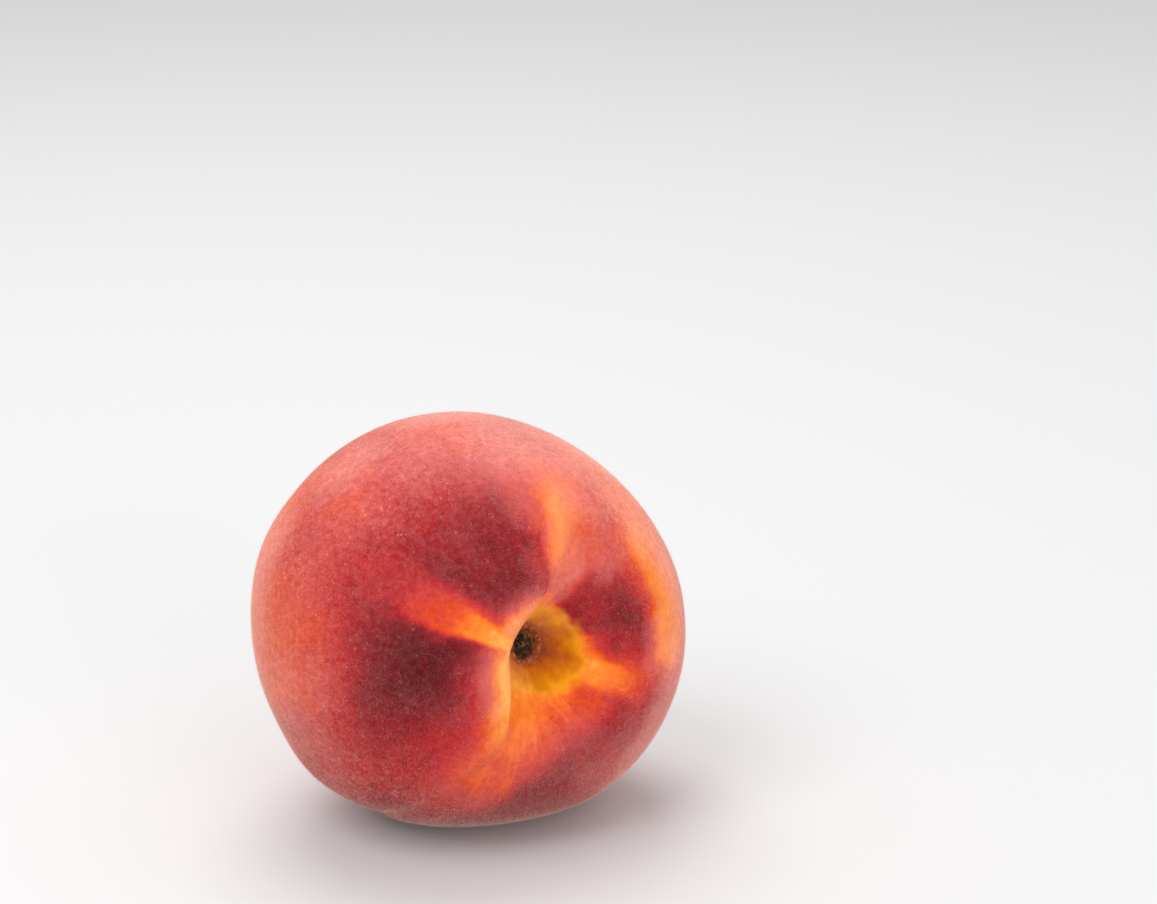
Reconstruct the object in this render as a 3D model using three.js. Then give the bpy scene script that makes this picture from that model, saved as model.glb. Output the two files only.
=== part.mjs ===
// A ripe peach, picked without its stalk, lying on its flank with the stalk cavity facing forwards.
// It is one grown body: two cheeks, a crease that runs from the back of the shoulder through the
// cavity and down the front, the stalk scar in the cavity, and a small point at the far end.
// Millimetres, +Z up. The fruit looks towards -Y and rests on a small flat spot at z = 0.

import * as THREE from 'three';

const { abs, asin, cos, exp, hypot, max, min, PI, sin } = Math;
const DEGREE = PI / 180;

// ---- Sizes of the fruit ----

const CHEEK_WIDTH = 77.6; // across the two cheeks
const SUTURE_WIDTH = 73.8; // from the crease to the back
const UPPER_HEIGHT = 33.0; // from the widest girth to the shoulders, had they no cavity
const LOWER_HEIGHT = 33.5; // from the widest girth to the far end
const SHOULDER = 0.045; // how much broader the stalk half is than the far half
const WAIST = 0.02; // how much the shoulders and the far end draw in
const MEAN_RADIUS = (CHEEK_WIDTH + SUTURE_WIDTH) / 4;

// Swells and flats around the girth: where, how large beside the radius, how wide.
// The angle starts at the crease and turns towards the right cheek.
const SWELLS = [
  { at: 33, by: -0.073, spread: 27 }, // the flattened flank that the fruit lies on
  { at: 104.7, by: 0.022, spread: 38 }, // right cheek
  { at: 171.7, by: -0.036, spread: 36.5 }, // flat beside the back of the crease
  { at: 280.5, by: 0.017, spread: 15 }, // left cheek
  { at: 342.5, by: 0.018, spread: 9 }, // lip of the left cheek beside the crease
];

// The crease swings aside, by an angle that is largest at some distance from the stalk axis.
const FRONT_SWING = { angle: 13, distance: 12.4, spread: 9.5 };
const BACK_SWING = { angle: 12, distance: 9.8, spread: 16.7 };
const SWING_FADE = { from: -0.1, to: 0.3 }; // none below the girth, by the polar angle's cosine

const CREASE_DEPTH = 4.4; // of the fold between the two shoulders
const CREASE_REACH = 20; // how far from the axis the fold runs out
const CREASE_REACH_POWER = 3; // how abruptly it does so
const CREASE_FADE = { from: -0.1, to: 0.5 }; // none below the girth, by the same cosine
const CREASE_HEART = 5.8; // inside this distance the cavity takes over from the fold
const STEEP_WALL = { width: 1.6, power: 2.4 }; // the left cheek's lip
const SLOW_WALL = { width: 12, power: 1.8 }; // the right cheek's long slope

// The stalk cavity: a funnel that has its own width and curve on each side of its middle.
const CAVITY_DEPTH = 10.5;
const CAVITY_MIDDLE = { along: -1.25, across: 0.6 }; // a little off the axis
const CAVITY_WIDTH = { front: 6.6, right: 9, back: 6.6, left: 3 };
const CAVITY_POWER = { front: 1.3, right: 1.25, back: 1.3, left: 1.45 };
const SCAR_RADIUS = 3.2; // the round floor that the stalk broke away from
const SCAR_PIT = 1.6; // how far that floor is sunk
const SCAR_PIT_POWER = 4; // how steep the pit's rim is

const LINE_DEPTH = 0.6; // the fine suture line down the front
const LINE_WIDTH = 2.2;
const LINE_START = { from: 0.75, to: 0.35 }; // it begins below the shoulder, by the cosine
const LINE_END = { from: 0.1, to: 0.4 }; // and ends before the point, by the polar angle's sine

const TIP_HEIGHT = 0.8; // the point at the far end
const TIP_ANGLE = 0.16;
const DISH_DEPTH = 0.8; // the shallow dish that the point stands in
const DISH_ANGLE = 0.5;

// ---- How it lies ----

const STALK_LIFT = 5.2; // the stalk axis rises by this angle from level
const STALK_YAW = 26.6; // and points this far to the right of the front
const STALK_ROLL = -125; // the crease is turned this far about the stalk axis
const FLAT_DEPTH = 0.65; // how much the fruit's weight has flattened its lowest spot

// ---- Facets ----

const RINGS = 48; // from the stalk scar to the far end
const SPOKES = 96; // around the axis
const RING_CROWDING = 0.6; // rings crowd together at the scar and at the point
const SPOKE_CROWDING = 0.6; // spokes crowd together along the crease, front and back

function smoothStep({ from, to }, value) {
  const share = min(max((value - from) / (to - from), 0), 1);
  return share * share * (3 - 2 * share);
}

function bell(distance, spread) {
  return exp(-((distance / spread) ** 2));
}

function turnBetween(angle, other) {
  return asin(sin((angle - other) / 2)) * 2;
}

// Blends four values, given for the front, right, back and left, by a direction (cosine, sine).
function bySide(sides, cosine, sine) {
  return (
    sides.front * max(cosine, 0) ** 2 +
    sides.back * max(-cosine, 0) ** 2 +
    sides.right * max(sine, 0) ** 2 +
    sides.left * max(-sine, 0) ** 2
  );
}

// The angle by which the crease stands aside from the suture plane at a distance from the axis.
function creaseSwing(polar, turn, distance) {
  const swing = cos(turn) > 0 ? FRONT_SWING : BACK_SWING;
  const upper = smoothStep(SWING_FADE, cos(polar));
  const share = bell(distance - swing.distance, swing.spread) * cos(turn) ** 2 * upper;
  return swing.angle * DEGREE * share;
}

function outwards(polar, azimuth) {
  return new THREE.Vector3(sin(polar) * cos(azimuth), sin(polar) * sin(azimuth), cos(polar));
}

// The plump body without its crease and cavity.
function bodyPoint(polar, azimuth) {
  const level = sin(polar);
  const height = cos(polar);
  let girth = 1 + SHOULDER * height - WAIST * (1 - level);
  let swell = 1;
  for (const { at, by, spread } of SWELLS) {
    swell += by * bell(turnBetween(azimuth, at * DEGREE), spread * DEGREE) * level ** 2;
  }
  girth *= swell * level;
  return new THREE.Vector3(
    (SUTURE_WIDTH / 2) * girth * cos(azimuth),
    (CHEEK_WIDTH / 2) * girth * sin(azimuth),
    (height > 0 ? UPPER_HEIGHT : LOWER_HEIGHT) * height,
  );
}

// The depth of the fold between the shoulders. Along runs down the crease, across over it.
function creaseDepth(along, across, polar) {
  const wall = across < 0 ? STEEP_WALL : SLOW_WALL;
  const section = exp(-(abs(across / wall.width) ** wall.power));
  const runOut = exp(-(abs(along / CREASE_REACH) ** CREASE_REACH_POWER));
  const heart = 1 - bell(hypot(along, across), CREASE_HEART);
  return CREASE_DEPTH * section * runOut * heart * smoothStep(CREASE_FADE, cos(polar));
}

// The depth of the stalk cavity, with the scar's pit in its floor, by the place from its middle.
function cavityDepth(along, across) {
  const distance = hypot(along, across);
  const pit = SCAR_PIT * exp(-((distance / SCAR_RADIUS) ** SCAR_PIT_POWER));
  if (distance <= SCAR_RADIUS) {
    return CAVITY_DEPTH + pit;
  }
  const down = along / (along > 0 ? CAVITY_WIDTH.front : CAVITY_WIDTH.back);
  const aside = across / (across > 0 ? CAVITY_WIDTH.right : CAVITY_WIDTH.left);
  const reach = hypot(down, aside);
  const power = bySide(CAVITY_POWER, down / reach, aside / reach);
  const wall = (1 - SCAR_RADIUS / distance) * reach;
  return CAVITY_DEPTH * exp(-(wall ** power)) + pit;
}

// The depth of the fine line that goes on down the front where the fold has run out.
function lineDepth(along, across, polar) {
  const front = along > 0 ? 1 : 0;
  const ends = smoothStep(LINE_START, cos(polar)) * smoothStep(LINE_END, sin(polar));
  return LINE_DEPTH * bell(across, LINE_WIDTH) * ends * front;
}

// A point of the skin, by its polar angle from the stalk and its turn about it from the crease.
function skinPoint(polar, turn) {
  const distance = MEAN_RADIUS * sin(polar);
  const azimuth = turn + creaseSwing(polar, turn, distance);
  const along = distance * cos(turn);
  const across = distance * sin(turn);
  const point = bodyPoint(polar, azimuth);
  if (cos(polar) > 0) {
    point.z -= cavityDepth(along - CAVITY_MIDDLE.along, across - CAVITY_MIDDLE.across);
  }
  point.z -= creaseDepth(along, across, polar);
  point.addScaledVector(outwards(polar, azimuth), -lineDepth(along, across, polar));
  point.z += DISH_DEPTH * bell(PI - polar, DISH_ANGLE) - TIP_HEIGHT * bell(PI - polar, TIP_ANGLE);
  return point;
}

// Rings of points from the stalk scar to the far end, closed at both by a single point.
function skinGeometry() {
  const positions = [];
  for (let ring = 0; ring <= RINGS; ring += 1) {
    const share = ring / RINGS;
    const polar = PI * share - (RING_CROWDING * sin(2 * PI * share)) / 2;
    const onAxis = ring === 0 || ring === RINGS;
    for (let spoke = 0; spoke < (onAxis ? 1 : SPOKES); spoke += 1) {
      const even = (2 * PI * spoke) / SPOKES;
      const turn = even - (SPOKE_CROWDING * sin(2 * even)) / 2;
      positions.push(...skinPoint(polar, turn));
    }
  }
  const geometry = new THREE.BufferGeometry();
  geometry.setAttribute('position', new THREE.Float32BufferAttribute(positions, 3));
  geometry.setIndex(skinTriangles());
  return geometry;
}

function skinTriangles() {
  const scar = 0;
  const tip = 1 + (RINGS - 1) * SPOKES;
  const at = (ring, spoke) => 1 + (ring - 1) * SPOKES + (spoke % SPOKES);
  const triangles = [];
  for (let spoke = 0; spoke < SPOKES; spoke += 1) {
    triangles.push(scar, at(1, spoke), at(1, spoke + 1));
    for (let ring = 1; ring < RINGS - 1; ring += 1) {
      triangles.push(at(ring, spoke), at(ring + 1, spoke), at(ring + 1, spoke + 1));
      triangles.push(at(ring, spoke), at(ring + 1, spoke + 1), at(ring, spoke + 1));
    }
    triangles.push(at(RINGS - 1, spoke), tip, at(RINGS - 1, spoke + 1));
  }
  return triangles;
}

// Lays the upright fruit on its flank, and presses its lowest spot flat on the ground.
function layDown(geometry) {
  geometry.rotateZ(STALK_ROLL * DEGREE);
  geometry.rotateX((90 - STALK_LIFT) * DEGREE);
  geometry.rotateZ(STALK_YAW * DEGREE);
  geometry.computeBoundingBox();
  geometry.translate(0, 0, -geometry.boundingBox.min.z - FLAT_DEPTH);
  const points = geometry.getAttribute('position');
  for (let index = 0; index < points.count; index += 1) {
    points.setZ(index, max(points.getZ(index), 0));
  }
  geometry.computeBoundingBox();
  const middle = geometry.boundingBox.getCenter(new THREE.Vector3());
  geometry.translate(-middle.x, -middle.y, 0);
  geometry.computeVertexNormals();
  return geometry;
}

const skin = new THREE.MeshStandardMaterial({ color: '#c4533f', roughness: 0.75, metalness: 0 });
const peach = new THREE.Mesh(layDown(skinGeometry()), skin);
peach.name = 'peach';

const group = new THREE.Group();
group.add(peach);

export default group;
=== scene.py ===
import logging
import math
from dataclasses import dataclass, field
from enum import Enum

import bpy
import numpy as np
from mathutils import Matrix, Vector
from numpy.typing import NDArray


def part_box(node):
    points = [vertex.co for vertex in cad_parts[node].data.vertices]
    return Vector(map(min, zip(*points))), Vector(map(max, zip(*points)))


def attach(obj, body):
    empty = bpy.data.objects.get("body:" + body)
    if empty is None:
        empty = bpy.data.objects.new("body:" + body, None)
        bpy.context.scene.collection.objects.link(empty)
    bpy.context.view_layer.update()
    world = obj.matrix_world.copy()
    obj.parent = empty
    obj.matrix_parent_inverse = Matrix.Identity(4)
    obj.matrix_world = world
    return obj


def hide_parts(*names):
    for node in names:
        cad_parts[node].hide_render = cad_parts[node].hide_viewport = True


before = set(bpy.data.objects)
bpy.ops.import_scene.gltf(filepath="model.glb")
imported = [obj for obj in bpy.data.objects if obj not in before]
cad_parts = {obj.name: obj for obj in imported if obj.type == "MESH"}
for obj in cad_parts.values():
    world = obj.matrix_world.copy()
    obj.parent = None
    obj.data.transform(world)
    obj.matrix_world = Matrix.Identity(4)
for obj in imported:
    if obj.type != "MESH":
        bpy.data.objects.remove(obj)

Array = NDArray[np.float64]
Pair = tuple[float, float]
Colour = tuple[float, float, float]
Stops = tuple[tuple[float, Colour], ...]
Material = bpy.types.Material
Piece = bpy.types.Object
Socket = bpy.types.NodeSocket

LOG = logging.getLogger("peach")
MM = 0.001  # the fruit's sizes are millimetres, Blender's are metres
TURN = 2.0 * math.pi


# ---- shared arithmetic ----


def smooth_step(start: float, end: float, value: Array) -> Array:
    """The S-shaped rise 3s² - 2s³, where s is the clipped share of the way from start to end."""
    share = np.clip((value - start) / (end - start), 0.0, 1.0)
    return share * share * (3.0 - 2.0 * share)


def bell(distance: Array, spread: float) -> Array:
    """The bell curve exp(-(distance / spread)²)."""
    return np.exp(-((distance / spread) ** 2))


def turn_between(angle: Array, other: float) -> Array:
    """The signed angle from other to angle, in radians, wrapped to half a turn either way."""
    return np.angle(np.exp(1j * (angle - other)))


def unit(vectors: Array) -> Array:
    """The vectors along the last axis, each made one long."""
    return vectors / np.maximum(np.linalg.norm(vectors, axis=-1, keepdims=True), 1e-12)


class Axis(Enum):
    """An axis to turn about."""

    ACROSS = "x"
    UP = "z"


def rotation(axis: Axis, degrees: float) -> Array:
    """A right-handed turn.

    Args:
        axis: what is turned about.
        degrees: the angle.

    Returns:
        The 3 by 3 matrix that turns columns.
    """
    cosine, sine = math.cos(math.radians(degrees)), math.sin(math.radians(degrees))
    if axis is Axis.ACROSS:
        return np.array([[1, 0, 0], [0, cosine, -sine], [0, sine, cosine]])
    return np.array([[cosine, -sine, 0], [sine, cosine, 0], [0, 0, 1]])


@dataclass(frozen=True)
class Fade:
    """How something fades with distance: exp(-(distance / width) to a power)."""

    width: float
    power: float

    def at(self, distance: Array) -> Array:
        """What is left of it at some distances."""
        return np.exp(-(np.abs(distance / self.width) ** self.power))


@dataclass(frozen=True)
class Ridge:
    """A bell-shaped ridge around a middle, or a groove if its height is negative."""

    height: float
    at: float
    spread: float

    def rise(self, distance: Array) -> Array:
        """Its height at some distances from the middle."""
        return self.height * bell(distance - self.at, self.spread)


@dataclass(frozen=True)
class Ripple:
    """Smooth noise in space: the mean of the sines of distances along many seeded directions."""

    wavelength: float
    seed: int
    height: float = 1.0
    waves: int = 28
    paces: Pair = (0.65, 1.5)  # the waves' frequencies beside the wavelength's own

    def at(self, points: Array) -> Array:
        """The noise at some points.

        Args:
            points: places in millimetres, along the last axis.

        Returns:
            Values about 0, nearly all within the height.
        """
        rng = np.random.default_rng(self.seed)
        directions = unit(rng.normal(size=(self.waves, 3)))
        pace = TURN / self.wavelength * rng.uniform(*self.paces, size=(self.waves, 1))
        start = rng.uniform(0.0, TURN, size=self.waves)
        total = np.sin(points @ (directions * pace).T + start).sum(axis=-1)
        return self.height * total / math.sqrt(2.0 * self.waves)

    def streaks(self, around: Array, down: Array, radius: float, pace: float) -> Array:
        """Streaks from the stalk: the noise on a tube of a radius, run through at a pace."""
        tube = [radius * np.cos(around), radius * np.sin(around), pace * down]
        return self.at(np.stack(tube, axis=-1))


# ---- the fruit's form ----


@dataclass(frozen=True)
class Swell:
    """A swell or flat of the girth: where, how large beside the radius, how wide, in degrees."""

    at: float
    by: float
    spread: float


@dataclass(frozen=True)
class Swing:
    """How far the crease swings aside: its largest angle in degrees, where it is, how wide."""

    angle: float
    distance: float
    spread: float

    def at(self, distance: Array) -> Array:
        """The angle in radians at some distances: a bell about the largest."""
        return math.radians(self.angle) * bell(distance - self.distance, self.spread)


@dataclass(frozen=True)
class Sides:
    """One value for each side of the stalk axis."""

    front: float
    right: float
    back: float
    left: float

    def blend(self, cosine: Array, sine: Array) -> Array:
        """The value in a direction: the four, weighted by the squares of the direction's parts."""
        shares = np.maximum([cosine, sine, -cosine, -sine], 0.0) ** 2
        return np.tensordot([self.front, self.right, self.back, self.left], shares, axes=1)


@dataclass(frozen=True)
class FruitForm:
    """The peach's shape, in millimetres, with its stalk axis along +Z and its crease at +X.

    A point is given by its polar angle from the stalk and its turn about the axis from the
    crease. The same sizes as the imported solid, on as fine a grid as is asked for.
    """

    cheek_width: float = 77.6
    suture_width: float = 73.8
    upper_height: float = 33.0
    lower_height: float = 33.5
    shoulder: float = 0.045
    waist: float = 0.02
    swells: tuple[Swell, ...] = (
        Swell(at=33, by=-0.073, spread=27),
        Swell(at=104.7, by=0.022, spread=38),
        Swell(at=171.7, by=-0.036, spread=36.5),
        Swell(at=280.5, by=0.017, spread=15),
        Swell(at=342.5, by=0.018, spread=9),
    )
    front_swing: Swing = Swing(angle=13, distance=12.4, spread=9.5)
    back_swing: Swing = Swing(angle=12, distance=9.8, spread=16.7)
    swing_fade: Pair = (-0.1, 0.3)  # by the polar angle's cosine
    crease_depth: float = 4.4
    crease_reach: Fade = Fade(width=20.0, power=3.0)
    crease_fade: Pair = (-0.1, 0.5)  # by the same cosine
    crease_heart: float = 5.8
    steep_wall: Fade = Fade(width=1.6, power=2.4)
    slow_wall: Fade = Fade(width=12.0, power=1.8)
    cavity_depth: float = 10.5
    cavity_middle: Pair = (-1.25, 0.6)  # along the crease, across it
    cavity_width: Sides = Sides(front=6.6, right=9.0, back=6.6, left=3.0)
    cavity_power: Sides = Sides(front=1.3, right=1.25, back=1.3, left=1.45)
    scar_radius: float = 3.2
    scar_pit: float = 1.6
    scar_pit_power: float = 4.0
    line_depth: float = 0.6
    line_width: float = 2.2
    line_start: Pair = (0.75, 0.35)  # by the polar angle's cosine
    line_end: Pair = (0.1, 0.4)  # by its sine
    tip_height: float = 0.8
    tip_angle: float = 0.16
    dish_depth: float = 0.8
    dish_angle: float = 0.5
    stalk_lift: float = 5.2
    stalk_yaw: float = 26.6
    stalk_roll: float = -125.0
    flat_depth: float = 0.65

    @property
    def mean_radius(self) -> float:
        """Half the mean of both widths."""
        return (self.cheek_width + self.suture_width) / 4.0

    def distance(self, polar: Array) -> Array:
        """The distance from the stalk axis: the mean radius times the sine of the polar angle."""
        return self.mean_radius * np.sin(polar)

    def from_axis(self, polar: Array, turn: Array) -> Array:
        """Distances from the axis along the crease and across it, one row for each."""
        return self.distance(polar) * np.stack([np.cos(turn), np.sin(turn)])

    def from_cavity(self, polar: Array, turn: Array) -> tuple[Array, Array]:
        """Distances from the cavity's middle, and turns about it from the crease."""
        along, across = self.from_axis(polar, turn) - np.array(self.cavity_middle)[:, None]
        return np.hypot(along, across), np.arctan2(across, along)

    def to_axis(self, distance: Array, turn: Array) -> tuple[Array, Array]:
        """The way back to the stalk axis.

        Args:
            distance: distances from the cavity's middle.
            turn: turns about it.

        Returns:
            Polar angles and turns about the axis.
        """
        along = distance * np.cos(turn) + self.cavity_middle[0]
        across = distance * np.sin(turn) + self.cavity_middle[1]
        return np.arcsin(np.hypot(along, across) / self.mean_radius), np.arctan2(across, along)

    def crease_swing(self, polar: Array, turn: Array) -> Array:
        """The angle by which the crease stands aside from the suture plane.

        Args:
            polar: angles from the stalk.
            turn: turns from the crease.

        Returns:
            Radians: a bell of the distance from the axis, times the squared cosine of the turn.
        """
        distance = self.distance(polar)
        swing = np.where(np.cos(turn) > 0, self.front_swing.at(distance), self.back_swing.at(distance))
        return swing * np.cos(turn) ** 2 * smooth_step(*self.swing_fade, np.cos(polar))

    def body(self, polar: Array, azimuth: Array) -> Array:
        """The plump body without its crease and cavity.

        Args:
            polar: angles from the stalk.
            azimuth: turns from the suture plane.

        Returns:
            Points of an ellipsoid whose girth is changed by the shoulder, waist and swells.
        """
        level, height = np.sin(polar), np.cos(polar)
        swell = np.ones_like(polar)
        for each in self.swells:
            across = turn_between(azimuth, math.radians(each.at))
            swell = swell + each.by * bell(across, math.radians(each.spread)) * level**2
        girth = (1.0 + self.shoulder * height - self.waist * (1.0 - level)) * swell * level
        half = np.where(height > 0, self.upper_height, self.lower_height)
        along = self.suture_width / 2.0 * girth * np.cos(azimuth)
        across = self.cheek_width / 2.0 * girth * np.sin(azimuth)
        return np.stack([along, across, half * height], axis=-1)

    def fold(self, along: Array, across: Array, polar: Array) -> Array:
        """The depth of the fold between the shoulders.

        Args:
            along: distance down the crease from the axis.
            across: distance over the crease, positive towards the right cheek.
            polar: angles from the stalk.

        Returns:
            The depth: a section with a steep left and a slow right wall, run out along it.
        """
        section = np.where(across < 0, self.steep_wall.at(across), self.slow_wall.at(across))
        run_out = self.crease_reach.at(along) * smooth_step(*self.crease_fade, np.cos(polar))
        heart = 1.0 - bell(np.hypot(along, across), self.crease_heart)
        return self.crease_depth * section * run_out * heart

    def cavity(self, along: Array, across: Array) -> Array:
        """The depth of the stalk cavity with the scar's pit in its floor.

        Args:
            along: distance down the crease from the cavity's middle.
            across: distance over the crease, positive towards the right cheek.

        Returns:
            The depth exp(-wall to a power), where the wall starts at the scar's edge and its
            width and power differ on the four sides, plus the pit.
        """
        distance = np.maximum(np.hypot(along, across), 1e-9)
        down = along / np.where(along > 0, self.cavity_width.front, self.cavity_width.back)
        aside = across / np.where(across > 0, self.cavity_width.right, self.cavity_width.left)
        reach = np.maximum(np.hypot(down, aside), 1e-9)
        power = np.maximum(self.cavity_power.blend(down / reach, aside / reach), 1.0)
        wall = np.maximum(1.0 - self.scar_radius / distance, 0.0) * reach
        pit = self.scar_pit * Fade(self.scar_radius, self.scar_pit_power).at(distance)
        return self.cavity_depth * np.exp(-(wall**power)) + pit

    def suture_line(self, along: Array, across: Array, polar: Array) -> Array:
        """The depth of the fine line that goes on down the front where the fold has run out."""
        ends = smooth_step(*self.line_end, np.sin(polar)) * smooth_step(*self.line_start, np.cos(polar))
        return self.line_depth * bell(across, self.line_width) * ends * (along > 0)

    def skin(self, polar: Array, turn: Array) -> Array:
        """Points of the skin on the fruit's own axes.

        Args:
            polar: angles from the stalk.
            turn: turns from the crease.

        Returns:
            The body's points, lowered by the cavity and the fold, drawn in along the suture
            line, with the dish and the point at the far end.
        """
        azimuth = turn + self.crease_swing(polar, turn)
        along, across = self.from_axis(polar, turn)
        points = self.body(polar, azimuth)
        level = np.sin(polar)
        outwards = np.stack([level * np.cos(azimuth), level * np.sin(azimuth), np.cos(polar)], axis=-1)
        points = points - self.suture_line(along, across, polar)[..., None] * outwards
        cavity = self.cavity(along - self.cavity_middle[0], across - self.cavity_middle[1])
        lowered = cavity * (np.cos(polar) > 0) + self.fold(along, across, polar)
        from_tip = math.pi - polar
        dish = self.dish_depth * bell(from_tip, self.dish_angle)
        tip = self.tip_height * bell(from_tip, self.tip_angle)
        points[..., 2] += dish - tip - lowered
        return points

    def laying(self) -> Array:
        """The turn that lays the upright fruit on its flank."""
        roll, lift = rotation(Axis.UP, self.stalk_roll), rotation(Axis.ACROSS, 90.0 - self.stalk_lift)
        return rotation(Axis.UP, self.stalk_yaw) @ lift @ roll


@dataclass
class Resting:
    """Carries points from the fruit's own axes to the frame, in millimetres."""

    form: FruitForm
    shift: Array = field(default_factory=lambda: np.zeros(3))

    def settle(self, points: Array, low: Array, high: Array) -> None:
        """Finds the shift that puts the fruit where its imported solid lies.

        Args:
            points: the whole skin on the fruit's own axes.
            low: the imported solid's lowest corner, in metres.
            high: its highest corner, in metres.
        """
        turned = points @ self.form.laying().T
        middle = (turned.min(axis=0) + turned.max(axis=0)) / 2.0
        self.shift = (low + high) / 2.0 / MM - middle
        self.shift[2] = -turned[:, 2].min() - self.form.flat_depth

    def place(self, points: Array, flatten: bool = True) -> Array:
        """Points in the frame, where what would sink into the ground may be pressed flat on it."""
        placed = points @ self.form.laying().T + self.shift
        return np.maximum(placed, (-np.inf, -np.inf, 0.0)) if flatten else placed


# ---- meshes ----


def add_piece(name: str, points: Array, faces: Array, material: Material, fields: dict[str, Array]) -> Piece:
    """Makes a piece of the peach from arrays.

    Args:
        name: the piece's name.
        points: its vertices in the frame, in millimetres.
        faces: rows of three vertex numbers.
        material: its finish.
        fields: by name, the numbers at the vertices that the finish reads. A piece that has
            any is shaded smooth.

    Returns:
        The new object, at the origin, riding on the fruit's one body.
    """
    mesh = bpy.data.meshes.new(name)
    mesh.vertices.add(len(points))
    mesh.vertices.foreach_set("co", (points * MM).astype(np.float32).ravel())
    mesh.loops.add(faces.size)
    mesh.loops.foreach_set("vertex_index", faces.astype(np.int32).ravel())
    mesh.polygons.add(len(faces))
    mesh.polygons.foreach_set("loop_start", np.arange(0, faces.size, faces.shape[1], dtype=np.int32))
    mesh.update(calc_edges=True)
    mesh.validate()
    mesh.materials.append(material)
    piece = bpy.data.objects.new(name, mesh)
    bpy.context.scene.collection.objects.link(piece)
    if fields:
        mesh.polygons.foreach_set("use_smooth", np.ones(len(faces), dtype=bool))
        for key, values in fields.items():
            layer = mesh.attributes.new(key, "FLOAT", "POINT")
            layer.data.foreach_set("value", values.astype(np.float32).ravel())
    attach(piece, "root")
    LOG.info("%s: %d vertices, %d faces", name, len(points), len(faces))
    return piece


def closed_rings(rings: int, spokes: int) -> Array:
    """Faces of a closed skin: a first point, rings of points between, and a last point.

    Args:
        rings: how many rings lie between the two points.
        spokes: how many points each ring has.

    Returns:
        Triangles: two for each cell between rings, and one for each spoke at both ends. They
        face outwards if the rings run downwards and turn anticlockwise seen from above.
    """
    ring, spoke = np.meshgrid(np.arange(rings - 1), np.arange(spokes), indexing="ij")
    after = (spoke + 1) % spokes
    top, bottom = 1 + ring * spokes, 1 + (ring + 1) * spokes
    quads = np.stack([top + spoke, bottom + spoke, bottom + after, top + after], axis=-1).reshape(-1, 4)
    around = np.arange(spokes)
    beyond = (around + 1) % spokes
    last_ring, last = 1 + (rings - 1) * spokes, 1 + rings * spokes
    crown = np.stack([np.zeros_like(around), 1 + around, 1 + beyond], axis=-1)
    foot = np.stack([last_ring + around, np.full_like(around, last), last_ring + beyond], axis=-1)
    return np.concatenate([quads[:, [0, 1, 2]], quads[:, [0, 2, 3]], crown, foot])


# ---- the blush ----


@dataclass(frozen=True)
class Patch:
    """A patch of skin between two turns from the crease and two angles down from the stalk.

    Borders and their softness are degrees. The sides may lean with the angle down and the
    ends may rise with the turn, both about the patch's middle.
    """

    level: float
    sides: Pair
    ends: Pair
    soft_sides: Pair
    soft_ends: Pair
    lean: float = 0.0
    rise: float = 0.0
    ragged: float = 1.0

    def cover(self, around: Array, down: Array, wander: Array) -> Array:
        """How far the patch covers each point.

        Args:
            around: the points' turns from the crease, in radians.
            down: their angles from the stalk, in degrees.
            wander: noise in degrees that makes the borders ragged.

        Returns:
            The product of four S-shaped rises, one for each border: 0 outside, 1 inside.
        """
        middle, half = sum(self.sides) / 2.0, (self.sides[1] - self.sides[0]) / 2.0
        wander = self.ragged * wander
        aside = np.degrees(turn_between(around, math.radians(middle)))
        away = down - self.rise * aside + 0.5 * wander
        aside = aside - self.lean * (down - sum(self.ends) / 2.0) + wander
        inside = (aside + half, half - aside, away - self.ends[0], self.ends[1] - away)
        cover = np.ones_like(down)
        for soft, depth in zip((*self.soft_sides, *self.soft_ends), inside):
            cover = cover * smooth_step(-soft, soft, depth)
        return cover


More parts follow.
